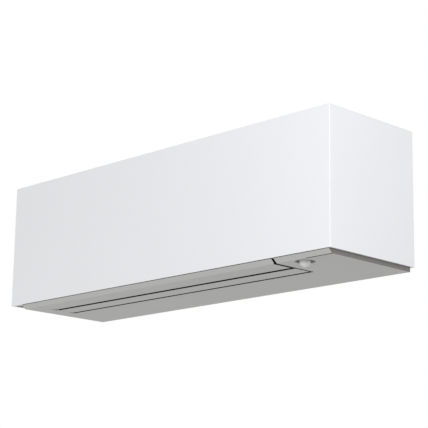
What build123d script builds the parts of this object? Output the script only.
from build123d import *
from math import cos, radians, sin
import os

# Mini split indoor unit, wall mounted: a flat white box with a grey base that holds the air outlet.
# Millimetres. X runs to the right as seen from the front, Y from the front towards the wall, Z up.
# The origin is on the wall, at the middle of the unit's back. The wall is the plane Y = 0.

# ---------------------------------------------------------------- overall size
width = 990.0
height = 295.0
depth = 260.0
base_drop = 10.0            # the grey base hangs this far under the white covers
cover_wall = 2.5            # moulded white covers
seam = 0.4                  # gap between covers that lie side by side
play = 0.3                  # gap between pieces that move past each other
fit = 0.05                  # radial gap of a pin in its hole
pin_sides = 12              # small pins and their holes have few sides
bar_sides = 24              # thicker round pieces
dish_sides = 36

top = height / 2
bottom = -height / 2
cover_bottom = bottom + base_drop
right = width / 2
left = -width / 2
front = -depth

# ---------------------------------------------------------------- air outlet and flaps
left_cap = 88.0             # closed length of the base left of the flaps
right_cap = 152.0           # closed length of the base right of the flaps, over the electrics
outlet_left = left + left_cap
outlet_right = right - right_cap
outlet_middle = (outlet_left + outlet_right) / 2
lip_setback = 1.6           # top of the base's sloped front edge, behind the front panel's face
crease_setback = 12.0       # foot of the sloped front edge
front_flap_depth = 54.0     # flat part of the front flap
rear_flap_depth = 50.0
flap_gap = 2.5              # slot between the two flaps
rear_slot = 1.5             # slot behind the rear flap
flap_end_gap = 2.5
flap_skin = 3.0
flap_belly = 4.5            # how far a flap's inner face bulges over its straight chord
bead_radius = 4.0           # round rear edge of a flap, on its hinge axis
hinge_pin_radius = 2.5
duct_wall = 3.5
strut_wall = 4.0            # strut in the middle of the outlet
strut_setback = 13.8        # strut from the foot of the front guide
saddle_angle = 30.0         # half angle of the strut's saddle over the hinge pin

crease_y = front + crease_setback
front_flap_back = crease_y + front_flap_depth
rear_flap_front = front_flap_back + flap_gap
rear_flap_back = rear_flap_front + rear_flap_depth
base_slot_y = rear_flap_back + rear_slot
flap_axis_z = bottom + bead_radius
front_flap_axis_y = front_flap_back - bead_radius
rear_flap_axis_y = rear_flap_back - bead_radius

# Parallel crank and link that open a flap
crank_room = 2.1            # between the front flap's crank and the front guide
crank_radius = 14.0
crank_angle = 130.0         # from +Y, anticlockwise, at rest
crank_wall = 3.0
crank_boss_radius = 4.5
crank_pin_radius = 1.5
link_width = 7.0
motor_shaft_radius = 2.5

# ---------------------------------------------------------------- fan
fan_radius = 54.0
fan_axis_y = -112.0
fan_axis_z = -18.0
fan_end_gap = 6.0
blade_count = 24
blade_chord = 13.0
blade_wall = 1.6            # thickest point of a blade
blade_camber = 1.6          # depth of its hollow side
blade_lean = 31.0           # between a blade's chord and the radius through its outer tip
ring_count = 4              # end discs and stiffening rings together
ring_wall = 2.5
fan_shaft_radius = 4.0
fan_hub_radius = 14.0
fan_left_hub = 10.0         # hub inside the left end disc
fan_right_hub = 16.0
fan_shaft_seat = 12.5       # how deep a shaft goes into the fan

# ---------------------------------------------------------------- fan scroll and rear chassis
chassis_wall = 2.5
chassis_setback = 8.0       # clear space between the wall and the chassis back, over the mounting plate
scroll_gap_top = 8.0        # scroll to fan where the scroll starts
scroll_gap_end = 16.0       # scroll to fan where the straight guide leaves it
scroll_start = 40.0         # degrees from +Y, anticlockwise
scroll_end = -46.0
recess_ceiling_z = -78.0    # ceiling of the pipe recess
back_window_z0 = -68.0      # window in the back wall, behind the scroll
back_window_z1 = 30.0
end_wall = 3.0

# ---------------------------------------------------------------- front guide and stabiliser
tongue_gap = 5.0
tongue_start = 185.0
tongue_end = 215.0
guide_foot_z = bottom + 19.5

# ---------------------------------------------------------------- coil
tube_pitch = 24.0
tube_radius = 4.76
tube_sides = 8
bend_leg = 3.0              # straight end of a return bend
fin_depth = 27.0
lower_tubes = 4
upper_tubes = 4
rear_tubes = 3
coil_setback = 25.0         # front face of the upright block, behind the unit's front
coil_bottom_z = -60.0
coil_slope = 45.0
block_gap = 1.5
rear_block_gap = 6.0        # gap at the ridge, between the upper and the rear block
end_plate_wall = 1.2

# ---------------------------------------------------------------- swing vanes
vanes_per_side = 5
vane_end_gap = 10.0         # left over at the outlet's ends, beside the vanes
vane_chord = 46.0
vane_reach = 34.0           # from the front guide into the outlet
vane_wall = 2.0
vane_axis_run = 58.0        # from the tongue's end along the front guide to the vane axis
vane_pin_radius = 2.0
vane_crank = 14.0           # from the vane axis to the link pin
vane_swing = 30.0           # degrees to each side
vane_link_width = 7.0
vane_link_wall = 2.5
vane_link_pin_radius = 1.5

# ---------------------------------------------------------------- mounting plate
plate_width = 760.0
plate_height = 222.0
plate_wall = 1.2
plate_rib = 2.4
wall_hole_spacing_x = 600.0
wall_hole_spacing_z = 100.0
wall_hole_radius = 2.6
plate_hook_width = 40.0
plate_hook_spacing = 520.0
hook_rise = 9.0             # upturned end of a hook
plate_window = 90.0         # width of a window in the plate, beside its middle
plate_window_x = 150.0

# ---------------------------------------------------------------- other pieces
cabinet_wall = 2.5
cabinet_inset = 16.0        # cabinet and chassis from the unit's ends
panel_wall = 3.0
panel_rim = 6.0             # depth of the front panel's turned rim
panel_top_wall = 2.7        # front panel above its hinge axis, thinner so that it clears the top as it opens
hinge_drop = 3.6            # panel hinge axis below the top
panel_pin_radius = 1.2
panel_pin_length = 3.0
panel_ear_radius = 2.5
panel_ear_wall = 4.0
panel_ear_inset = 26.0
cabinet_setback = 4.6       # cabinet's front frame behind the panel's rear face
base_wall = 2.5
base_left_inset = 39.0
base_right_inset = 5.0
base_back_inset = 9.0
base_rim = 6.0              # the base's turned edges reach this far up inside the covers
base_tab = 2.5              # tabs that hold the base to the duct's end walls
base_tab_y = -236.0
base_tab_z = -128.0
sensor_inset_x = 95.0       # sensor centre from the right end
sensor_inset_y = 36.0       # sensor centre from the front
dish_radius = 20.5
dish_depth = 6.0            # from the base's underside up to the lens seat
dish_flange = 1.5           # the flange inside the base reaches this far past the dish
dish_flange_wall = 2.0
dish_wall = 1.6
lens_radius = 11.0
lens_drop = 11.0            # how far the domed lens hangs under the base
crease_groove = 1.6         # width of the groove along the crease, right of the outlet
filter_frame = 9.0
filter_wall = 3.0


# ================================================================ small helpers
def block(x0, x1, y0, y1, z0, z1):
    """Box between two corners."""
    return Pos((x0 + x1) / 2, (y0 + y1) / 2, (z0 + z1) / 2) * Box(x1 - x0, y1 - y0, z1 - z0)


def rod_x(x0, x1, y, z, radius):
    """Round bar along X."""
    return Pos((x0 + x1) / 2, y, z) * Rot(0, 90, 0) * Cylinder(radius, x1 - x0)


def rod_y(x, y0, y1, z, radius):
    """Round bar along Y."""
    return Pos(x, (y0 + y1) / 2, z) * Rot(90, 0, 0) * Cylinder(radius, y1 - y0)


def plane_x(x, y, z):
    """Plane square to X, with its own X axis along Y."""
    return Plane(origin=(x, y, z), x_dir=(0, 1, 0), z_dir=(1, 0, 0))


def pin(plane, length, radius, sides=pin_sides):
    """Round pin of few sides on a plane, along its normal, with its corners on the radius."""
    return extrude(plane * RegularPolygon(radius, sides), amount=length)


def pin_hole(plane, length, radius):
    """Room for such a pin, with its flats a fit outside the radius."""
    return extrude(plane * RegularPolygon(radius + fit, pin_sides, major_radius=False), amount=length)


def pin_x(x0, x1, y, z, radius):
    """Small pin along X."""
    return pin(plane_x(x0, y, z), x1 - x0, radius)


def bar_x(x0, x1, y, z, radius):
    """Thicker round bar along X."""
    return pin(plane_x(x0, y, z), x1 - x0, radius, bar_sides)


def pin_hole_x(x0, x1, y, z, radius):
    """Hole along X for a small pin."""
    return pin_hole(plane_x(x0, y, z), x1 - x0, radius)


def prism_x(x0, x1, *edges):
    """Prism along X from the edges of a closed outline drawn as (y, z) points."""
    outline = [edge for piece in edges for edge in (Plane.YZ * piece).edges()]
    return Pos(x0, 0, 0) * extrude(make_face(outline), amount=x1 - x0, dir=(1, 0, 0))


def slab_x(x0, x1, *points):
    """Prism along X from a closed outline of straight lines through (y, z) points."""
    face = make_face(Plane.YZ * Polyline(*points, close=True))
    return Pos(x0, 0, 0) * extrude(face, amount=x1 - x0, dir=(1, 0, 0))


def stack(x, y, sides, *rings):
    """Upright round body of few sides, through rings given as (z, radius) from the lowest up."""
    angles = [radians(i * 360 / sides) for i in range(sides)]
    corners = [[(x + radius * cos(a), y + radius * sin(a), z) for a in angles] for z, radius in rings]
    faces = [Face(Wire.make_polygon(ring)) for ring in (corners[0], corners[-1])]
    for low, high in zip(corners, corners[1:]):
        for i in range(sides):
            faces.append(Face(Wire.make_polygon([low[i - 1], low[i], high[i], high[i - 1]])))
    return Solid(Shell(faces))


def around(center, radius, angle):
    """Point on a circle in the side view, with the angle from +Y anticlockwise."""
    return (center[0] + radius * cos(radians(angle)), center[1] + radius * sin(radians(angle)))


def along(start, direction, distance, offset=0.0):
    """Point at a distance from start along a unit direction, and offset square to it (to its left)."""
    return (
        start[0] + direction[0] * distance - direction[1] * offset,
        start[1] + direction[1] * distance + direction[0] * offset,
    )


def unit(start, end):
    """Unit direction from one side-view point to another."""
    dy, dz = end[0] - start[0], end[1] - start[1]
    length = (dy * dy + dz * dz) ** 0.5
    return (dy / length, dz / length)


def strip_x(x0, x1, start, end, wall):
    """Flat wall between two side-view points, its thickness to the left of the way there."""
    way = unit(start, end)
    return slab_x(x0, x1, start, end, along(end, way, 0, wall), along(start, way, 0, wall))


# ================================================================ lines that several pieces share
hinge_y = front + panel_rim
hinge_z = top - hinge_drop
cabinet_front_y = hinge_y + cabinet_setback
cabinet_back_y = cabinet_front_y + cabinet_wall     # inner face of the cabinet's front frame
guide_foot_y = cabinet_back_y + play + 0.7 * chassis_wall
fan_axis = (fan_axis_y, fan_axis_z)
tongue_radius = fan_radius + tongue_gap
guide_start = around(fan_axis, tongue_radius, tongue_end)
guide_foot = (guide_foot_y, guide_foot_z)
guide_way = unit(guide_start, guide_foot)
guide_out = (guide_way[1], -guide_way[0])    # square to the front guide, out of the outlet


def scroll_radius(angle):
    """The scroll's radius grows evenly from its start to its end."""
    share = (scroll_start - angle) / (scroll_start - scroll_end)
    return fan_radius + scroll_gap_top + (scroll_gap_end - scroll_gap_top) * share


def scroll_arc(extra):
    """The scroll line, moved outwards by extra, from its start to its end."""
    turn = scroll_end - scroll_start
    start, middle, end = (scroll_start + turn * share for share in (0, 0.5, 1))
    return ThreePointArc(*(around(fan_axis, scroll_radius(a) + extra, a) for a in (start, middle, end)))


scroll_top = around(fan_axis, scroll_radius(scroll_start), scroll_start)
scroll_foot = around(fan_axis, scroll_radius(scroll_end), scroll_end)
rear_guide_foot = (base_slot_y, bottom + base_wall)
rear_way = unit(scroll_foot, rear_guide_foot)
recess_corner = (scroll_foot[0] + (recess_ceiling_z - scroll_foot[1]) * rear_way[0] / rear_way[1], recess_ceiling_z)
chassis_back = -chassis_setback
chassis_inner = chassis_back - chassis_wall
cabinet_half = width / 2 - cabinet_inset


# ================================================================ wall side
def mounting_plate():
    """Pressed steel plate with stiffening ribs, screw holes and two hooks."""
    half = plate_width / 2
    low, high = -plate_height / 2, plate_height / 2
    plate = block(-half, half, -plate_wall, 0, low, high)
    for z in (low + 40, high - 40):
        plate += block(-half + 30, half - 30, -plate_wall - plate_rib, 0, z - 6, z + 6)
        plate -= block(-half + 31, half - 31, -plate_rib, 1, z - 5, z + 5)
    for x in (-half + 60, half - 60):
        plate -= block(x - 35, x + 35, -10, 1, low - 1, low + 26)
    for x in (-plate_window_x, plate_window_x):
        plate -= block(x - plate_window / 2, x + plate_window / 2, -10, 1, -plate_window / 3, plate_window / 3)
    for x in (-wall_hole_spacing_x / 2, wall_hole_spacing_x / 2):
        for z in (-wall_hole_spacing_z / 2, wall_hole_spacing_z / 2):
            plate -= rod_y(x, -10, 1, z, wall_hole_radius)
    hook_reach = chassis_setback + chassis_wall + 3.0
    for x in (-plate_hook_spacing / 2, plate_hook_spacing / 2):
        x0, x1 = x - plate_hook_width / 2, x + plate_hook_width / 2
        plate += block(x0, x1, -hook_reach, 0, high - plate_wall, high)
        plate += block(x0, x1, -hook_reach, -hook_reach + plate_wall, high - plate_wall, high + hook_rise)
    return plate


def rear_chassis():
    """Moulded back: back wall, rear drip trough, fan scroll, straight rear guide, end walls and pipe recess."""
    x0, x1 = -cabinet_half + 0.5, cabinet_half - 0.5
    wall, back = chassis_wall, chassis_back
    shell = slab_x(x0, x1, (back, recess_ceiling_z), (back, top - 27), (back - wall, top - 27),
                   (back - wall, recess_ceiling_z))
    # feet of the back wall, which rest on the wall beside the pipe recess
    for x in (x0, x1 - 12):
        shell += block(x, x + 12, back - wall, 0, cover_bottom + 8, top - 60)
    # the space behind the scroll stays open to the wall
    shell -= block(outlet_left + 20, outlet_right - 20, back - wall - 1, back + 1, back_window_z0, back_window_z1)
    # scroll with the straight guide that ends at the outlet's rear edge
    inner, outer = scroll_arc(0), scroll_arc(wall)
    scroll = prism_x(outlet_left, outlet_right, inner, outer, Line(inner @ 0, outer @ 0), Line(inner @ 1, outer @ 1))
    shell += scroll
    guide_end = along(rear_guide_foot, rear_way, -chassis_wall - play)
    shell += strip_x(outlet_left, outlet_right, scroll_foot, guide_end, wall)
    # trough under the rear coil block, joined to the back wall and to the scroll's top
    trough_z = scroll_top[1] + 17
    trough_front = scroll_top[0] - 24
    shell += strip_x(outlet_left, outlet_right, (trough_front, trough_z), (back - wall, trough_z), wall)
    shell += strip_x(outlet_left, outlet_right, (trough_front, trough_z + 11), (trough_front, trough_z), wall)
    shell += strip_x(outlet_left, outlet_right, (scroll_top[0], trough_z + 0.5), scroll_top, wall)
    # recess ceiling, from the back wall to the scroll
    shell += block(x0, x1, recess_corner[0] + 1, back, recess_ceiling_z, recess_ceiling_z + wall)
    # end walls
    for x in (outlet_left - end_wall, outlet_right):
        shell += chassis_end(x)
    # openings: fan bearing on the left, motor shaft on the right
    shell -= bar_x(outlet_left - 50, outlet_left + 1, *fan_axis, bearing_seat_radius)
    shell -= bar_x(outlet_right - 1, outlet_right + 50, *fan_axis, fan_hub_radius + 4)
    # slots that hang on the mounting plate's hooks, tall enough for the hooks' upturned ends
    slot_top = plate_height / 2
    for x in (-plate_hook_spacing / 2, plate_hook_spacing / 2):
        half = plate_hook_width / 2 + 1
        shell -= block(x - half, x + half, back - wall - 1, back + 1, slot_top - hook_rise - 2, slot_top)
    # way out for the coil's two pipes, through the recess ceiling at the right
    for y, radius in ((gas_y, gas_radius), (liquid_y, liquid_radius)):
        shell -= pin(Plane(origin=(pipe_x, y, recess_ceiling_z - 1)), wall + 2, radius)
    return drilled(shell)


def chassis_end(x):
    """End wall over the division line to the outlet duct. The coil's end plate screws to it."""
    outline = [
        (chassis_back - chassis_wall, recess_ceiling_z),
        (chassis_back - chassis_wall, top - 27),
        (ridge_y + 22, top - 18.5),
        (ridge_y - 22, top - 18.5),
        (coil_outer_y - 7, coil_elbow_z + 14),
        (coil_outer_y - 7, coil_bottom_z + 26),
        (pan_back_y + 1, coil_bottom_z + 26),
        split_top,
        split_foot,
        along(split_foot, rear_way, 0, chassis_wall),
        (recess_corner[0] - chassis_wall / rear_way[1], recess_ceiling_z),
    ]
    return slab_x(x, x + end_wall, *outline)


# ================================================================ coil
coil_outer_y = front + coil_setback
coil_inner_y = coil_outer_y + fin_depth
coil_elbow_z = coil_bottom_z + lower_tubes * tube_pitch
upper_way = (cos(radians(coil_slope)), sin(radians(coil_slope)))
upper_start = (coil_inner_y - 1.0, coil_elbow_z + block_gap)
upper_end = along(upper_start, upper_way, upper_tubes * tube_pitch)
rear_way_up = (-cos(radians(coil_slope)), sin(radians(coil_slope)))
rear_top = (upper_end[0] + rear_block_gap, upper_end[1])
rear_start = along(rear_top, rear_way_up, -rear_tubes * tube_pitch)
ridge_y = (upper_end[0] + rear_top[0]) / 2
plate_x_left = outlet_left + 24
plate_x_right = outlet_right - 24


def block_outline(start, way, tubes, side, grow=0.0):
    """Corners of a fin block seen from the side. side is 1 where it thickens to the left of its way."""
    length = tubes * tube_pitch
    inner, outer = -grow * side, (fin_depth + grow) * side
    return [
        along(start, way, -grow, inner),
        along(start, way, length + grow, inner),
        along(start, way, length + grow, outer),
        along(start, way, -grow, outer),
    ]


def tube_places(start, way, tubes, side):
    """Centres of a block's tubes, in one row half way through its depth."""
    return [along(start, way, (i + 0.5) * tube_pitch, side * fin_depth / 2) for i in range(tubes)]


coil_blocks = {
    "fin_block_front_lower": ((coil_inner_y, coil_bottom_z), (0.0, 1.0), lower_tubes, 1),
    "fin_block_front_upper": (upper_start, upper_way, upper_tubes, 1),
    "fin_block_rear": (rear_start, rear_way_up, rear_tubes, -1),
}


def fin_block(start, way, tubes, side):
    """Pack of pressed fins with the tubes that are expanded into it, taken as one block."""
    return slab_x(plate_x_left + end_plate_wall, plate_x_right - end_plate_wall,
                  *block_outline(start, way, tubes, side))


def coil_end_plate(x, wall_x, tab_z):
    """Sheet steel end plate that follows the three fin blocks, with two tabs bent out to a chassis end wall."""
    blocks = list(coil_blocks.values())
    plate = slab_x(x, x + end_plate_wall, *block_outline(*blocks[0], grow=1.0))
    for shape in blocks[1:]:
        plate += slab_x(x, x + end_plate_wall, *block_outline(*shape, grow=1.0))
    # ridge web between the upper and the rear block
    low, high = upper_end[1] - 8, upper_end[1] + 8
    plate += slab_x(x, x + end_plate_wall, (upper_end[0] - 6, low), (rear_top[0] + 6, low),
                    (rear_top[0] + 10, high), (upper_end[0] - 10, high))
    x0, x1 = min(x, wall_x), max(x + end_plate_wall, wall_x)
    middle_y = coil_inner_y - fin_depth / 2
    plate += block(x0, x1, ridge_y - 7, ridge_y + 7, high - end_plate_wall, high)
    plate += block(x0, x1, middle_y - 11, middle_y + 11, tab_z, tab_z + end_plate_wall)
    return plate


def return_bend(x, first, second, outward):
    """Half ring of tube, with few sides, that joins two tube ends at the plane x and bulges along outward X."""
    middle = ((first[0] + second[0]) / 2, (first[1] + second[1]) / 2)
    half = (second[0] - middle[0], second[1] - middle[1])
    reach = min((half[0] ** 2 + half[1] ** 2) ** 0.5, tube_pitch / 2)
    points = [(x, *first)]
    for turn in range(0, 181, 45):
        share, rise = cos(radians(turn)), sin(radians(turn))
        points.append((x + outward * (bend_leg + reach * rise), middle[0] - half[0] * share,
                       middle[1] - half[1] * share))
    points.append((x, *second))
    profile = Plane(origin=points[0], z_dir=(outward, 0, 0)) * RegularPolygon(tube_radius, tube_sides)
    return sweep(profile, path=Polyline(*points), transition=Transition.RIGHT)


def coil_bends():
    """Copper return bends that join the tubes of the three blocks into one run."""
    rows = [tube_places(*shape) for shape in coil_blocks.values()]
    lower, upper, rear = rows
    left_pairs = [pair for row in rows for pair in zip(row[0::2], row[1::2])]
    right_pairs = [pair for row in rows for pair in zip(row[1::2], row[2::2])]
    right_pairs += [(lower[-1], upper[0]), (upper[-1], rear[-1])]
    bends = [return_bend(plate_x_left, *pair, -1) for pair in left_pairs]
    bends += [return_bend(plate_x_right, *pair, 1) for pair in right_pairs]
    return Compound(children=[bend.solid() for bend in bends])


# ================================================================ drain pan and connecting pipes
pan_wall = 2.5
pan_back_y = coil_inner_y + 10
pan_front_y = cabinet_back_y + 0.5
pan_bottom_z = coil_bottom_z - 6
pan_rim = 20.0
spigot_radius = 9.0
spigot_bore = 6.5
spigot_length = 25.0
spigot_x = outlet_right + 20
plug_x = outlet_left - 20
spigot_z = pan_bottom_z + spigot_radius + 0.5
pan_overhang = 34.0         # how far the pan reaches past the outlet at each end


def drain_pan():
    """Trough under the front coil. It runs past the outlet at both ends, where it has a drain spigot."""
    x0, x1 = outlet_left - pan_overhang, outlet_right + pan_overhang
    pan = block(x0, x1, pan_front_y, pan_back_y, pan_bottom_z, pan_bottom_z + pan_rim)
    pan -= block(x0 + pan_wall, x1 - pan_wall, pan_front_y + pan_wall, pan_back_y - pan_wall,
                 pan_bottom_z + pan_wall, pan_bottom_z + pan_rim + 1)
    for x in (spigot_x, plug_x):
        pan += rod_y(x, pan_back_y - 1, pan_back_y + spigot_length, spigot_z, spigot_radius)
        pan -= spigot_way(x, pan_back_y - pan_wall - 1, pan_back_y + spigot_length + 1)
    return pan


def spigot_way(x, y0, y1):
    """Room inside a spigot, between two places along Y."""
    return pin(Plane(origin=(x, y0, spigot_z), z_dir=(0, 1, 0)), y1 - y0, spigot_bore, bar_sides)


def drain_plug():
    """Rubber plug in the spigot that isn't used, with a flange to pull it by."""
    end = pan_back_y + spigot_length
    flange = pin(Plane(origin=(plug_x, end, spigot_z), z_dir=(0, 1, 0)), 3, spigot_radius, bar_sides)
    return spigot_way(plug_x, end - 12, end) + flange


gas_radius = 6.35
liquid_radius = 3.175
pipe_x = outlet_right - 60
pipe_end_x = -60.0
gas_y = -22.0
liquid_y = -48.0
gas_z = recess_ceiling_z - 24
liquid_z = recess_ceiling_z - 18
pipe_bend = 3.0             # bend radius of a connecting pipe, in pipe radii
gas_nut_flat = 27.0
liquid_nut_flat = 17.0
nut_run = 24.0
nut_mouth = 1.8             # thread's radius outside the pipe's


def connecting_pipe(y, z, radius):
    """Copper pipe, with few sides, that comes down through the recess ceiling and turns left along the recess."""
    bend = pipe_bend * radius
    points = [(pipe_x, y, recess_ceiling_z + 14)]
    for turn in range(0, 91, 30):
        points.append((pipe_x - bend + bend * cos(radians(turn)), y, z + bend - bend * sin(radians(turn))))
    points.append((pipe_end_x, y, z))
    profile = Plane(origin=points[0], z_dir=(0, 0, -1)) * RegularPolygon(radius, pin_sides)
    return sweep(profile, path=Polyline(*points), transition=Transition.RIGHT)


def flare_nut(y, z, radius, flat):
    """Brass flare nut at the pipe's end, with its mouth open to the left."""
    start = pipe_end_x - nut_run + 4
    nut = extrude(plane_x(start, y, z) * RegularPolygon(flat / 2, 6, major_radius=False), amount=nut_run)
    nut -= pin_x(pipe_end_x, pipe_end_x + 10, y, z, radius)
    return nut - rod_x(start - 1, pipe_end_x, y, z, radius + nut_mouth)


# ================================================================ air outlet
split_top = (pan_back_y + 22, pan_bottom_z + 12)
split_foot = along(scroll_foot, rear_way, 68.0)
split_way = unit(split_top, split_foot)


def duct_end_outline():
    """Side view of the duct's end wall: all of the outlet under the division line to the chassis."""
    low = bottom + 0.4
    return [
        split_top,
        (pan_back_y + 1, pan_bottom_z),
        (guide_foot_y, pan_bottom_z),
        (guide_foot_y, low),
        (base_slot_y - 0.5, low),
        (base_slot_y - 0.5, bottom + base_wall + 1),
        split_foot,
    ]


def outlet_duct():
    """Moulded outlet: stabiliser, front guide, two end walls with the hinge holes, and the middle strut."""
    arc_in = CenterArc(fan_axis, tongue_radius, tongue_start, tongue_end - tongue_start)
    arc_out = CenterArc(fan_axis, tongue_radius + chassis_wall, tongue_start, tongue_end - tongue_start)
    duct = prism_x(outlet_left, outlet_right, arc_in, arc_out, Line(arc_in @ 0, arc_out @ 0),
                   Line(arc_in @ 1, arc_out @ 1))
    start = along(guide_start, guide_way, -1.2)
    duct += strip_x(outlet_left, outlet_right, guide_foot, start, chassis_wall)
    shelf = arc_in @ 0
    duct += strip_x(outlet_left, outlet_right, (shelf.X, shelf.Y), (pan_back_y + 0.6, shelf.Y - 8), -chassis_wall)
    for x in (outlet_left - duct_wall, outlet_right):
        duct += slab_x(x, x + duct_wall, *duct_end_outline())
    # ears that the cabinet's front frame screws to
    for x0, x1 in ((outlet_left - duct_ear, outlet_left), (outlet_right, outlet_right + duct_ear)):
        duct += block(x0, x1, cabinet_back_y, cabinet_back_y + screw_reach, ear_z - 7, ear_z + 7)
    duct += centre_strut()
    # hinge holes of the flaps and shaft holes of their motors
    for y in (front_flap_axis_y, rear_flap_axis_y):
        duct -= pin_hole_x(outlet_left - duct_wall - 1, outlet_left + 1, y, flap_axis_z, hinge_pin_radius)
        duct -= pin_hole_x(outlet_right - 1, outlet_right + duct_wall + 1, y, flap_axis_z, hinge_pin_radius)
        duct -= pin_hole_x(outlet_right - 1, outlet_right + duct_wall + 1, y, crank_axis_z, motor_shaft_radius)
    # pivot holes of the swing vanes, through the front guide
    for x in vane_places():
        duct -= pin_hole(vane_plane(x).offset(-2), chassis_wall + 3, vane_pin_radius)
    return drilled(duct)


def centre_strut():
    """Plate across the outlet that stops long flaps from sagging: a saddle sits over each hinge pin."""
    x0, x1 = outlet_middle - strut_wall / 2, outlet_middle + strut_wall / 2
    upper = along(guide_start, guide_way, 16)
    lower = along(guide_foot, guide_way, -strut_setback)
    strut = slab_x(x0, x1, upper, lower, (lower[0], flap_axis_z + 16), (rear_flap_axis_y + 4, flap_axis_z + 16),
                   along(scroll_foot, rear_way, 62, -8), along(scroll_foot, rear_way, 40, -22))
    for y in (front_flap_axis_y, rear_flap_axis_y):
        reach = hinge_pin_radius * 2.2 * sin(radians(saddle_angle))
        strut += block(x0, x1, y - reach, y + reach, flap_axis_z, flap_axis_z + 17)
        strut -= pin_hole_x(x0 - 1, x1 + 1, y, flap_axis_z, hinge_pin_radius)
        keep_above = flap_axis_z + hinge_pin_radius * cos(radians(saddle_angle))
        strut -= block(x0 - 1, x1 + 1, y - reach - 1, y + reach + 1, flap_axis_z - 9, keep_above)
    return strut


# ================================================================ flaps and their linkage
guide_over_crank = guide_start[1] + (front_flap_axis_y - guide_start[0]) * guide_way[1] / guide_way[0]
crank_axis_z = guide_over_crank + (crank_radius + crank_boss_radius + crank_room) / guide_way[0]
crank_x1 = outlet_right - 0.5
crank_x0 = crank_x1 - crank_wall
link_x1 = crank_x0 - 0.4
link_x0 = link_x1 - crank_wall
lug_x1 = link_x0 - 0.4
lug_x0 = lug_x1 - crank_wall


def flap_prism(outline):
    """A flap's body between the end gaps, from its side-view edges."""
    return prism_x(outlet_left + flap_end_gap, outlet_right - flap_end_gap, *outline)


def front_flap():
    """Front flap: sloped lip, crease, flat part and round rear edge, arched inside to stay stiff."""
    axis_y = front_flap_axis_y
    lip_top = (front + lip_setback, cover_bottom - 0.8)
    crease = (crease_y, bottom)
    inner_lip = (lip_top[0] + 4.4, lip_top[1])
    inner_crease = (crease_y + 3.0, bottom + flap_skin + 1.6)
    bead_top = (axis_y, flap_axis_z + bead_radius)
    middle = ((inner_crease[0] + bead_top[0]) / 2, (inner_crease[1] + bead_top[1]) / 2 + flap_belly / 2)
    outline = [
        Polyline(inner_crease, inner_lip, lip_top, crease, (axis_y, bottom)),
        ThreePointArc((axis_y, bottom), (axis_y + bead_radius, flap_axis_z), bead_top),
        ThreePointArc(bead_top, middle, inner_crease),
    ]
    return finish_flap(flap_prism(outline), axis_y)


def rear_flap():
    """Rear flap: a plain aerofoil with the same round rear edge."""
    axis_y = rear_flap_axis_y
    nose = (rear_flap_front, bottom)
    inner_nose = (rear_flap_front + 1.0, bottom + flap_skin)
    bead_top = (axis_y, flap_axis_z + bead_radius)
    middle = ((inner_nose[0] + bead_top[0]) / 2, (inner_nose[1] + bead_top[1]) / 2 + flap_belly / 2)
    outline = [
        Polyline(inner_nose, nose, (axis_y, bottom)),
        ThreePointArc((axis_y, bottom), (axis_y + bead_radius, flap_axis_z), bead_top),
        ThreePointArc(bead_top, middle, inner_nose),
    ]
    return finish_flap(flap_prism(outline), axis_y)


def finish_flap(flap, axis_y):
    """Adds the hinge pins, the notch with its pin for the middle strut, and the lug that the link pulls."""
    pin_reach = flap_end_gap + duct_wall - 0.2
    flap += pin_x(outlet_left + flap_end_gap - pin_reach, outlet_left + flap_end_gap, axis_y, flap_axis_z,
                  hinge_pin_radius)
    flap += pin_x(outlet_right - flap_end_gap, outlet_right - flap_end_gap + pin_reach, axis_y, flap_axis_z,
                  hinge_pin_radius)
    x0, x1 = outlet_middle - strut_wall / 2 - 1.0, outlet_middle + strut_wall / 2 + 1.0
    notch = bead_radius + 2.5
    flap -= block(x0, x1, axis_y - notch, axis_y + notch, flap_axis_z - hinge_pin_radius - play, flap_axis_z + 20)
    flap += pin_x(x0, x1, axis_y, flap_axis_z, hinge_pin_radius)
    eye = around((axis_y, flap_axis_z), crank_radius, crank_angle)
    boss = crank_boss_radius
    flap += slab_x(lug_x0, lug_x1, (eye[0] - boss, eye[1] + boss / 2), (eye[0] - boss, bottom + 3),
                   (axis_y, bottom + 3), (eye[0] + boss, eye[1] + boss / 2), (eye[0] + boss / 2, eye[1] + boss),
                   (eye[0] - boss / 2, eye[1] + boss))
    return flap + pin_x(lug_x1, link_x1 + 0.2, *eye, crank_pin_radius)


def rounded_bar(x0, x1, start, end, half):
    """Flat bar along a side-view line, with round ends of few sides."""
    bar = pin_x(x0, x1, *start, half) + pin_x(x0, x1, *end, half)
    way = unit(start, end)
    edge = half * cos(radians(180 / pin_sides))
    return bar + slab_x(x0, x1, along(start, way, 0, edge), along(start, way, 0, -edge),
                        along(end, way, 0, -edge), along(end, way, 0, edge))


def flap_crank(axis_y):
    """Crank on the motor's shaft, parallel to the line from the flap's hinge to its lug."""
    axis = (axis_y, crank_axis_z)
    eye = around(axis, crank_radius, crank_angle)
    arm = rounded_bar(crank_x0, crank_x1, axis, eye, crank_boss_radius)
    arm += pin_x(link_x0 - 0.2, crank_x0, *eye, crank_pin_radius)
    return arm + pin_x(crank_x1, outlet_right + duct_wall + 1.5, *axis, motor_shaft_radius)


def flap_link(axis_y):
    """Upright link between the crank's pin and the flap's lug."""
    low = around((axis_y, flap_axis_z), crank_radius, crank_angle)
    high = around((axis_y, crank_axis_z), crank_radius, crank_angle)
    link = rounded_bar(link_x0, link_x1, low, high, link_width / 2)
    for eye in (low, high):
        link -= pin_hole_x(link_x0 - 1, link_x1 + 1, *eye, crank_pin_radius)
    return link


flap_motor_radius = 12.0
flap_motor_length = 17.0


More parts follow.
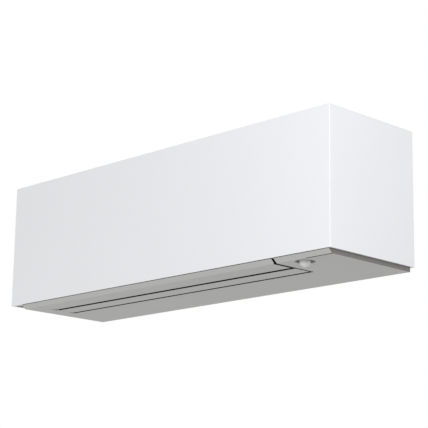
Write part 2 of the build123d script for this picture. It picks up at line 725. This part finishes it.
def flap_motors():
    """Two stepper motors outside the outlet's right end wall, one above each flap's hinge."""
    x0 = outlet_right + duct_wall
    motors = []
    for y in (front_flap_axis_y, rear_flap_axis_y):
        motor = bar_x(x0, x0 + flap_motor_length, y, crank_axis_z, flap_motor_radius)
        motor += block(x0, x0 + 1.2, y - 3.5, y + 3.5, crank_axis_z - flap_motor_radius - 4,
                       crank_axis_z + flap_motor_radius + 4)
        motor += block(x0 + 2, x0 + 11, y - 6, y + 6, crank_axis_z, crank_axis_z + flap_motor_radius + 3)
        motor -= pin_hole_x(x0 - 1, x0 + 3, y, crank_axis_z, motor_shaft_radius)
        motors.append(motor.solid())
    return Compound(children=motors)


# ================================================================ swing vanes


vane_pitch = ((outlet_right - outlet_left) / 2 - vane_end_gap) / vanes_per_side


def vane_places():
    """Centres along X of all vanes, counted from the middle strut outwards."""
    steps = [(i + 0.5) * vane_pitch for i in range(vanes_per_side)]
    return [outlet_middle - step for step in reversed(steps)] + [outlet_middle + step for step in steps]


def vane_plane(x, run=vane_axis_run):
    """Plane on the front guide at a vane: its X axis runs with the air and its Z axis points out of the outlet."""
    origin = (x, *along(guide_start, guide_way, run))
    return Plane(origin=origin, x_dir=(0, *guide_way), z_dir=(0, *guide_out))


def vane(x):
    """Swing vane: a blade that hangs from a pivot pin in the front guide, with a pin for the link bar."""
    nose = vane_chord * 0.45
    tail = vane_chord * 0.55
    outline = Polyline((-nose, -8), (-nose + 6, -0.8), (tail - 4, -0.8), (tail, -6), (tail, -vane_reach + 8),
                       (tail - 8, -vane_reach), (-nose, -vane_reach), close=True)
    blade = extrude(make_face(Plane.XZ * outline), amount=vane_wall / 2, both=True)
    blade = vane_plane(x) * blade
    blade += pin(vane_plane(x).offset(-6), 6 + chassis_wall + 0.8, vane_pin_radius)
    link_run = vane_axis_run - vane_crank
    link_pin = vane_link_wall + 1.0
    return blade + pin(vane_plane(x, link_run).offset(-vane_reach - link_pin), link_pin + 6, vane_link_pin_radius)


swing_motor_radius = 10.0
swing_motor_length = 14.0


def swing_motors(places):
    """Small stepper motors outside the front guide, one on the driven vane of each side."""
    motors = []
    for x in places:
        seat = vane_plane(x).offset(chassis_wall)
        motor = pin(seat, swing_motor_length, swing_motor_radius, bar_sides)
        motor += seat * Pos(0, 0, 0.6) * Box(7, 2 * swing_motor_radius + 10, 1.2)
        motor -= pin_hole(seat.offset(-1), 4, vane_pin_radius)
        motors.append(motor.solid())
    return Compound(children=motors)


def vane_link(places):
    """Bar with a hole for each vane's pin. It moves sideways and turns all vanes of its side together."""
    run = vane_axis_run - vane_crank
    depth = vane_reach + 0.4
    length = places[-1] - places[0] + vane_link_width
    middle = vane_plane((places[0] + places[-1]) / 2, run)
    bar = middle * Pos(0, 0, -depth - vane_link_wall / 2) * Box(vane_link_width, length, vane_link_wall)
    for x in places:
        hole_start = vane_plane(x, run).offset(-depth - vane_link_wall - 1)
        bar -= pin_hole(hole_start, vane_link_wall + 2, vane_link_pin_radius)
    return bar


# ================================================================ fan
bearing_seat_radius = 17.0
bearing_radius = 9.0


def blade_outline():
    """Crescent between the blade's outer and inner tip, with few corners because it repeats."""
    outer_tip = Vector(fan_radius - 1.0, 0)
    chord = Vector(blade_chord, 0).rotate(Axis.Z, 180 - blade_lean)
    bulge = chord.rotate(Axis.Z, 90).normalized()
    hollow = outer_tip + chord * 0.5 + bulge * blade_camber
    back = [outer_tip + chord * share + bulge * (blade_camber + blade_wall) for share in (0.67, 0.33)]
    return make_face(Polyline(outer_tip, hollow, outer_tip + chord, *back, close=True))


def cross_flow_fan():
    """Rotor: curved blades between end discs with hubs, and stiffening rings in between."""
    x0, x1 = outlet_left + fan_end_gap, outlet_right - fan_end_gap
    length = x1 - x0
    blade = extrude(blade_outline(), amount=length - 1.0, dir=(0, 0, 1))
    blades = [Pos(0, 0, 0.5) * Rot(0, 0, i * 360 / blade_count) * blade for i in range(blade_count)]
    step = (length - ring_wall) / (ring_count - 1)
    disc = pin(Plane.XY, ring_wall, fan_radius, bar_sides)
    ring = disc - pin(Plane.XY, ring_wall, fan_radius - blade_chord - 2.0, bar_sides)
    rings = [Pos(0, 0, step * i) * ring for i in range(1, ring_count - 1)]
    left_end = disc + pin(Plane.XY, ring_wall + fan_left_hub, fan_hub_radius, bar_sides)
    right_end = Pos(0, 0, length - ring_wall) * disc
    right_end += pin(Plane.XY.offset(length - ring_wall - fan_right_hub), fan_right_hub + ring_wall, fan_hub_radius,
                     bar_sides)
    rotor = left_end.fuse(right_end, *rings, *blades)
    for end in (0, length):
        rotor -= pin(Plane.XY.offset(end - fan_shaft_seat), 2 * fan_shaft_seat, fan_shaft_radius)
    return Plane(origin=(x0, *fan_axis), x_dir=(0, 1, 0), z_dir=(1, 0, 0)) * rotor


def fan_end_shaft():
    """Steel stub pressed into the fan's left disc. It runs in the bearing."""
    x0 = outlet_left + fan_end_gap
    return pin_x(x0 - 22, x0 + fan_shaft_seat, *fan_axis, fan_shaft_radius)


def fan_bearing():
    """Sintered bearing bush on the end shaft."""
    x0 = outlet_left - end_wall - 10
    bush = bar_x(x0, x0 + 12, *fan_axis, bearing_radius)
    return bush - pin_hole_x(x0 - 1, x0 + 13, *fan_axis, fan_shaft_radius)


def bearing_holder():
    """Rubber holder round the bearing, seated in the chassis end wall, with a flange outside it."""
    wall_x0 = outlet_left - end_wall
    holder = bar_x(wall_x0, outlet_left, *fan_axis, bearing_seat_radius)
    holder += bar_x(wall_x0 - 12, wall_x0, *fan_axis, bearing_seat_radius + 3)
    return holder - bar_x(wall_x0 - 13, outlet_left + 1, *fan_axis, bearing_radius)


motor_x0 = outlet_right + end_wall + 6
motor_radius = 45.0
motor_length = 58.0
motor_bevel = 6.0
damper_radius = 19.0
damper_run = 7.0
damper_bore = 12.0
bracket_wall = 4.0
damper_sides = 8            # flats that stop the dampers from turning


def fan_motor():
    """Resin-cast fan motor with bevelled ends and a round boss at each end for its rubber dampers."""
    x0 = motor_x0 + damper_run
    x1 = x0 + motor_length
    motor = bar_x(x0, x1, *fan_axis, motor_radius)
    ends = motor.edges().filter_by(GeomType.LINE).filter_by(lambda edge: edge.length < motor_length / 2)
    motor = chamfer(ends, motor_bevel)
    motor += bar_x(motor_x0, x1 + damper_run, *fan_axis, damper_bore)
    return motor - pin_hole_x(motor_x0 - 1, motor_x0 + 30, *fan_axis, fan_shaft_radius)


def motor_shaft():
    """Steel shaft from the motor into the fan's right hub. It turns with the fan."""
    return pin_x(outlet_right - fan_end_gap - fan_shaft_seat, motor_x0 + 28, *fan_axis, fan_shaft_radius)


def damper(x, length):
    """Eight-sided bar on the motor's axis, as large as a damper."""
    return extrude(plane_x(x, *fan_axis) * RegularPolygon(damper_radius, damper_sides), amount=length)


def motor_dampers():
    """Two rubber rings on the motor's bosses."""
    rings = []
    for x in (motor_x0, motor_x0 + damper_run + motor_length):
        ring = damper(x, damper_run) - bar_x(x - 1, x + damper_run + 1, *fan_axis, damper_bore)
        rings.append(ring.solid())
    return Compound(children=rings)


def motor_bracket():
    """Cradle: two upright plates that clamp the dampers, joined by a back plate that screws to the chassis."""
    y_back = chassis_back - chassis_wall
    z0, z1 = fan_axis_z - 30, fan_axis_z + 30
    bracket = block(motor_x0 + 0.5, motor_x0 + motor_length + 2 * damper_run - 0.5, y_back - bracket_wall, y_back,
                    z0, z1)
    for x in (motor_x0 + 0.5, motor_x0 + damper_run + motor_length + 0.5):
        plate = slab_x(x, x + damper_run - 1, (y_back, z0), (y_back, z1), (fan_axis_y, fan_axis_z + 30),
                       (fan_axis_y - 22, fan_axis_z + 22), (fan_axis_y - 22, fan_axis_z - 22),
                       (fan_axis_y, fan_axis_z - 30))
        bracket += plate - damper(x - 1, damper_run + 2)
    return drilled(bracket)


# ================================================================ casing
grille_left = outlet_left - 20
grille_right = outlet_right + 20
grille_front = front + 34
grille_back = -22.0
intake_rim = 6.5            # depth of the seat that the grille and the filters lie in
grille_wall = 2.5
grille_rows = 14            # slots from front to back
grille_columns = 5          # slots from left to right
grille_edge = 6.0
grille_bar = 3.0
button_x = outlet_right + 96
button_z = cover_bottom + 62
button_radius = 4.0


def cabinet():
    """White cabinet: top plate with the intake seat, and a front frame behind the front panel."""
    back = -3.0
    front_y = cabinet_front_y
    shell = block(-cabinet_half, cabinet_half, hinge_y + seam, back, top - cabinet_wall, top)
    shell += block(grille_left - 3, grille_right + 3, grille_front - 3, grille_back + 3, top - intake_rim - 2.5, top)
    shell -= block(grille_left, grille_right, grille_front, grille_back, top - intake_rim, top + 1)
    shell -= block(grille_left + 6, grille_right - 6, grille_front + 6, grille_back - 6, top - 20, top)
    # front frame round the opening for the coil, with an apron that reaches down behind the flaps' lip
    window_z0, window_z1 = pan_bottom_z + pan_rim + 4, top - 24
    shell += block(-cabinet_half, cabinet_half, front_y, cabinet_back_y, cover_bottom + base_rim + play, top)
    shell += block(outlet_left - duct_wall, outlet_right + duct_wall, front_y, cabinet_back_y,
                   cover_bottom + 1.5, cover_bottom + base_rim + 1)
    shell -= block(outlet_left + 8, outlet_right - 8, front_y - 1, cabinet_back_y + 1, window_z0, window_z1)
    # turned edges that stiffen the frame beside the opening
    for x in (outlet_left + 8 - cabinet_wall, outlet_right - 8):
        shell += block(x, x + cabinet_wall, front_y, front_y + 8, window_z0, window_z1)
    # pockets for the panel's hinge ears, each with a bearing cheek for the ear's pin
    for side in (-1, 1):
        ear = side * (width / 2 - panel_ear_inset)
        room = panel_ear_wall / 2 + play
        shell -= block(ear - room, ear + room, hinge_y, hinge_y + panel_ear_radius + play, hinge_z, top + 1)
        shell += hinge_cheek(ear, side)
        hole_x0, hole_x1 = sorted((ear, ear - side * (room + panel_pin_length + 1)))
        shell -= pin_hole_x(hole_x0, hole_x1, hinge_y, hinge_z, panel_pin_radius)
    shell -= button_bar(front_y - 1, cabinet_back_y + 1, button_radius + 2 * play)
    # posts for the switch board
    for x in (button_x - 18, button_x + 18):
        shell += block(x - 2, x + 2, front_y, switch_board_y, button_z - 3, button_z + 3)
    return drilled(shell)


def hinge_cheek(ear, side):
    """Bearing cheek on the inner side of a hinge ear, for the ear's pin."""
    x0 = ear - side * (panel_ear_wall / 2 + play)
    x0, x1 = sorted((x0, x0 - side * (panel_pin_length + 0.5)))
    radius = panel_ear_radius
    cheek = pin_x(x0, x1, hinge_y, hinge_z, radius)
    return cheek + block(x0, x1, hinge_y + seam, cabinet_front_y, hinge_z - radius, top)


def top_grille():
    """Intake grille: long bars with cross ribs, cut as rows of slots."""
    x0, x1 = grille_left + seam, grille_right - seam
    y0, y1 = grille_front + seam, grille_back - seam
    z0 = top - intake_rim
    z1 = z0 + grille_wall
    pitch_x = (x1 - x0 - 2 * grille_edge + grille_bar) / grille_columns
    pitch_y = (y1 - y0 - 2 * grille_edge + grille_bar) / grille_rows
    slots = []
    for column in range(grille_columns):
        x = x0 + grille_edge + column * pitch_x
        for row in range(grille_rows):
            y = y0 + grille_edge + row * pitch_y
            slots.append(block(x, x + pitch_x - grille_bar, y, y + pitch_y - grille_bar, z0 - 1, z1 + 1))
    return block(x0, x1, y0, y1, z0, z1) - slots


def air_filter(x0, x1):
    """Filter frame with a coarse lattice that carries the mesh."""
    y0, y1 = grille_front + 0.8, grille_back - 0.8
    z0 = top - intake_rim + grille_wall + play
    z1 = z0 + filter_wall
    frame = block(x0, x1, y0, y1, z0, z1)
    columns, rows = 3, 2
    pitch_x = (x1 - x0 - filter_frame) / columns
    pitch_y = (y1 - y0 - filter_frame) / rows
    for i in range(columns):
        for j in range(rows):
            a = x0 + filter_frame + i * pitch_x
            b = y0 + filter_frame + j * pitch_y
            frame -= block(a, a + pitch_x - filter_frame, b, b + pitch_y - filter_frame, z0 + 0.6, z1 + 1)
    return frame


def side_cover(side):
    """White end cover with turned edges and two tabs under the cabinet's top. side is 1 for the right one."""
    y0, y1 = hinge_y + seam, -0.5
    outer = width / 2
    inner = outer - cover_wall
    lip = cabinet_half + seam
    cover = block(lip, outer, y0, y1, cover_bottom, top)
    cover -= block(lip - 1, inner, y0 - 1, y1 - cover_wall, cover_bottom - 1, top - cabinet_wall)
    cover += block(outer - base_right_inset + seam, outer, y0, y1, cover_bottom, cover_bottom + 2.0)
    for y in (front + 80, front + 180):
        cover += block(cabinet_half - 9, inner, y - 9, y + 9, top - cabinet_wall - 2, top - cabinet_wall)
    return cover if side > 0 else mirror(cover, Plane.YZ)


def front_panel():
    """Flat front panel with a turned rim, stiffening ribs and two hinge ears with pins."""
    back = hinge_y
    panel = block(left, right, front, back, cover_bottom, top)
    panel -= block(left + panel_wall, right - panel_wall, front + panel_wall, back + 1,
                   cover_bottom + panel_wall, top + 1)
    # nothing but the thin front wall stands over the hinge axis
    panel -= block(left - 1, right + 1, front + panel_top_wall, back + 1, hinge_z, top + 1)
    for z in (cover_bottom + 70, top - 70):
        panel += block(left + 40, right - 40, front + panel_wall, back - 0.5, z - 1, z + 1)
    for side in (-1, 1):
        ear = side * (width / 2 - panel_ear_inset)
        x0, x1 = ear - panel_ear_wall / 2, ear + panel_ear_wall / 2
        panel += block(x0, x1, front + panel_wall, back, hinge_z - 12, hinge_z)
        panel += pin_x(x0, x1, back, hinge_z, panel_ear_radius)
        pin_x0, pin_x1 = sorted((ear, ear - side * (panel_ear_wall / 2 + play + panel_pin_length)))
        panel += pin_x(pin_x0, pin_x1, back, hinge_z, panel_pin_radius)
    return panel


def base_cover():
    """Grey base: a shallow tray with a sloped front, cut out for the outlet and the sensor dish.

    Left of the tray a narrow shelf lies higher up, so that a recess stays open under the left end.
    """
    x0, x1 = left + base_left_inset, right - base_right_inset
    back, rim = -base_back_inset, cover_bottom + base_rim
    lip_y, lip_z = front + lip_setback, cover_bottom - 0.8
    step_y = hinge_y + 1.2
    slope = (lip_z - bottom) / (crease_y - lip_y)
    tray = slab_x(x0, x1, (back, rim), (back, bottom), (crease_y, bottom), (lip_y, lip_z), (step_y, lip_z),
                  (step_y, rim))
    floor = bottom + base_wall
    inner_crease = crease_y + 1.1
    inner_step = step_y + base_wall
    tray -= slab_x(x0 + base_wall, x1 - base_wall, (back - base_wall, rim + 1), (back - base_wall, floor),
                   (inner_crease, floor), (inner_step, floor + (inner_crease - inner_step) * slope),
                   (inner_step, rim + 1))
    tray -= block(outlet_left - duct_wall - play, outlet_right + duct_wall + play, front - 1, base_slot_y,
                  bottom - 1, rim + 1)
    tray += block(left + base_right_inset, x0 + 1, cabinet_back_y + play, back, rim - base_wall, rim)
    # upright tabs that grip the duct's end walls
    for x in (outlet_left - duct_wall - base_tab, outlet_right + duct_wall):
        tray += block(x, x + base_tab, base_tab_y, base_tab_y + 14, bottom, base_tab_z)
    x, y = right - sensor_inset_x, front + sensor_inset_y
    # groove along the crease, from beside the sensor to the right end
    tray -= block(x + dish_radius / 2, x1 + 1, crease_y, crease_y + crease_groove, bottom - 1, bottom + base_wall / 2)
    return tray - stack(x, y, dish_sides, (bottom - 1, dish_radius), (floor + 1, dish_radius))


def sensor_dish():
    """Round dish let into the base, with the lens seat in its middle and a flange that rests on the base."""
    x, y = right - sensor_inset_x, front + sensor_inset_y
    seat, back = bottom + dish_depth, bottom + base_wall
    rim = back + dish_flange_wall
    dish = stack(x, y, dish_sides, (bottom, dish_radius), (back, dish_radius))
    dish += stack(x, y, dish_sides, (back, dish_radius + dish_flange), (rim, dish_radius + dish_flange))
    dish += stack(x, y, dish_sides, (rim, dish_radius - 1), (seat + dish_wall, lens_radius + dish_wall))
    dish -= stack(x, y, dish_sides, (bottom - 1, dish_radius - 1), (bottom, dish_radius - 1),
                  (bottom + dish_depth * 0.6, dish_radius - 6), (seat, lens_radius))
    return dish - stack(x, y, dish_sides, (seat - 1, lens_radius), (seat + dish_wall + 1, lens_radius))


def sensor_lens():
    """Lens of the room sensor, seated in the dish: a short round body with a dome that hangs under the base."""
    x, y = right - sensor_inset_x, front + sensor_inset_y
    dome = [(bottom - lens_drop * cos(radians(a)), lens_radius * sin(radians(a))) for a in (12, 31, 50, 70, 90)]
    return stack(x, y, dish_sides, *dome, (bottom + dish_depth + dish_wall, lens_radius))


# ================================================================ electrics
box_x0 = outlet_right + end_wall + 12
box_x1 = right - cover_wall - 8
box_y0 = cabinet_front_y + cabinet_wall + 2
box_y1 = fan_axis_y - 30 - 22
box_z0 = pan_bottom_z + pan_rim + 8
box_z1 = top - 34
board_y1 = box_y1 - 10
box_feet_z = (-8.0, 62.0)


def control_box():
    """Open tray for the electronics, with posts for the board and feet that screw to the chassis end wall."""
    wall = 2.0
    box = block(box_x0, box_x1, box_y0 + 2, box_y1, box_z0, box_z1)
    box -= block(box_x0 + wall, box_x1 - wall, box_y0, box_y1 - wall, box_z0 + wall, box_z1 - wall)
    for x in (box_x0 + 12, box_x1 - 12):
        for z in (box_z0 + 20, box_z1 - 20):
            box += block(x - 3, x + 3, board_y1, box_y1 - wall, z - 3, z + 3)
    for z in box_feet_z:
        box += block(outlet_right + end_wall, box_x0, box_y1 - wall, box_y1, z - 7, z + 7)
        box += block(outlet_right + end_wall, outlet_right + end_wall + wall, box_y1 - 14, box_y1, z - 7, z + 7)
    return drilled(box)


def control_box_cover():
    """Sheet cover of the control box, with turned edges."""
    cover = block(box_x0 - 1.5, box_x1 + 1.5, box_y0, box_y0 + 9, box_z0 - 1.5, box_z1 + 1.5)
    return cover - block(box_x0 - 0.2, box_x1 + 0.2, box_y0 + 1.5, box_y0 + 10, box_z0 - 0.2, box_z1 + 0.2)


def control_board():
    """Printed board with its larger components."""
    board = block(box_x0 + 5, box_x1 - 5, board_y1 - 1.6, board_y1, box_z0 + 8, box_z1 - 8)
    board += block(box_x0 + 12, box_x0 + 44, board_y1 - 26, board_y1 - 1, box_z0 + 14, box_z0 + 40)
    board += block(box_x0 + 54, box_x0 + 74, board_y1 - 20, board_y1 - 1, box_z0 + 16, box_z0 + 32)
    board += pin(Plane(origin=(box_x0 + 50, board_y1 - 30, box_z1 - 32), z_dir=(0, 1, 0)), 29, 9)
    board += block(box_x0 + 20, box_x0 + 50, board_y1 - 8, board_y1 - 1, box_z1 - 72, box_z1 - 58)
    return board


def terminal_block():
    """Screw terminal block under the control box, where the installer's cable lands."""
    x0 = box_x1 - 78.5
    y1 = box_y1 - 4
    z1 = box_z0
    body = block(x0, x0 + 72, y1 - 22, y1, z1 - 26, z1)
    for i in range(5):
        x = x0 + 4 + i * 13.5
        body -= block(x, x + 10, y1 - 30, y1 - 12, z1 - 22, z1 - 6)
    return body


button_y = cabinet_front_y - 1.6
button_length = 10.5
button_travel = 1.2
switch_y = button_y + button_length + button_travel + 0.2
switch_board_y = switch_y + 3.0


def button_bar(y0, y1, radius):
    """Round bar on the button's axis."""
    return pin(Plane(origin=(button_x, y0, button_z), z_dir=(0, 1, 0)), y1 - y0, radius, bar_sides)


def auto_button():
    """Push button behind the front panel, for use without the remote control, with a collar that keeps it in."""
    end = button_y + button_length
    return button_bar(button_y, end, button_radius) + button_bar(end - 1.5, end, button_radius + 1.5)


def switch_board():
    """Small board with the tact switch behind the button."""
    board = block(button_x - 22, button_x + 22, switch_board_y, switch_board_y + 1.6, button_z - 12, button_z + 12)
    return board + block(button_x - 3, button_x + 3, switch_y, switch_board_y, button_z - 3, button_z + 3)


# ================================================================ screws
screw_radius = 1.75
screw_head_radius = 3.5
screw_head = 2.2
screw_reach = 7.0
duct_ear = 26.0             # from the outlet to the far edge of an ear on the duct's end wall
ear_z = guide_foot_z + 10


def screw_places():
    """Where each screw's head sits, and the way that it is driven."""
    ears = [(x, cabinet_front_y, ear_z, (0, 1, 0)) for x in (outlet_left - duct_ear + 8, outlet_right + duct_ear - 8)]
    feet_x = outlet_right + end_wall + 2.0
    feet = [(feet_x, box_y1 - 7, z, (-1, 0, 0)) for z in box_feet_z]
    bracket_x = motor_x0 + damper_run + motor_length / 2
    bracket_y = chassis_back - chassis_wall - bracket_wall
    bracket = [(bracket_x, bracket_y, fan_axis_z + z, (0, 1, 0)) for z in (-20, 20)]
    return ears + feet + bracket


def screw_shank(x, y, z, towards):
    """Shank of a screw, with few sides."""
    return extrude(Plane(origin=(x, y, z), z_dir=towards) * RegularPolygon(screw_radius, 6), amount=screw_reach)


def screw(x, y, z, towards):
    """Pan head screw. Its head sits on the point and its shank runs along the direction towards."""
    seat = Plane(origin=(x, y, z), z_dir=towards)
    head = extrude(seat.offset(-screw_head) * RegularPolygon(screw_head_radius, pin_sides), amount=screw_head)
    return head + screw_shank(x, y, z, towards)


def drilled(piece):
    """A piece with the holes of all screws that reach into it."""
    return piece - [screw_shank(*place) for place in screw_places()]


def screws():
    """All pan head screws, one solid each."""
    return Compound(children=[screw(*place).solid() for place in screw_places()])


def main():
    os.makedirs("parts", exist_ok=True)
    places = vane_places()
    left_places, right_places = places[:vanes_per_side], places[vanes_per_side:]
    filter_left_x0, filter_right_x1 = grille_left + 0.8, grille_right - 0.8
    filter_middle = (grille_left + grille_right) / 2
    pieces = {
        "mounting_plate": mounting_plate(),
        "rear_chassis": rear_chassis(),
        "outlet_duct": outlet_duct(),
        "drain_pan": drain_pan(),
        "drain_plug": drain_plug(),
        "coil_end_plate_left": coil_end_plate(plate_x_left, outlet_left, coil_bottom_z + 2 * tube_pitch),
        "coil_end_plate_right": coil_end_plate(plate_x_right - end_plate_wall, outlet_right,
                                               coil_bottom_z + 3 * tube_pitch),
        "coil_bends": coil_bends(),
        "gas_pipe": connecting_pipe(gas_y, gas_z, gas_radius),
        "liquid_pipe": connecting_pipe(liquid_y, liquid_z, liquid_radius),
        "gas_flare_nut": flare_nut(gas_y, gas_z, gas_radius, gas_nut_flat),
        "liquid_flare_nut": flare_nut(liquid_y, liquid_z, liquid_radius, liquid_nut_flat),
        "cross_flow_fan": cross_flow_fan(),
        "fan_end_shaft": fan_end_shaft(),
        "fan_bearing": fan_bearing(),
        "bearing_holder": bearing_holder(),
        "fan_motor": fan_motor(),
        "motor_shaft": motor_shaft(),
        "motor_dampers": motor_dampers(),
        "motor_bracket": motor_bracket(),
        "cabinet": cabinet(),
        "top_grille": top_grille(),
        "filter_left": air_filter(filter_left_x0, filter_middle - 0.5),
        "filter_right": air_filter(filter_middle + 0.5, filter_right_x1),
        "side_cover_left": side_cover(-1),
        "side_cover_right": side_cover(1),
        "front_panel": front_panel(),
        "base_cover": base_cover(),
        "sensor_dish": sensor_dish(),
        "sensor_lens": sensor_lens(),
        "front_flap": front_flap(),
        "rear_flap": rear_flap(),
        "front_flap_crank": flap_crank(front_flap_axis_y),
        "rear_flap_crank": flap_crank(rear_flap_axis_y),
        "front_flap_link": flap_link(front_flap_axis_y),
        "rear_flap_link": flap_link(rear_flap_axis_y),
        "flap_motors": flap_motors(),
        "swing_motors": swing_motors((left_places[-1], right_places[0])),
        "vane_link_left": vane_link(left_places),
        "vane_link_right": vane_link(right_places),
        "control_box": control_box(),
        "control_box_cover": control_box_cover(),
        "control_board": control_board(),
        "terminal_block": terminal_block(),
        "auto_button": auto_button(),
        "switch_board": switch_board(),
        "screws": screws(),
    }
    for name, shape in coil_blocks.items():
        pieces[name] = fin_block(*shape)
    for side, row in (("left", left_places), ("right", right_places)):
        for number, x in enumerate(row, 1):
            pieces[f"vane_{side}_{number}"] = vane(x)
    for name, shape in pieces.items():
        export_step(shape, f"parts/{name}.step")


main()
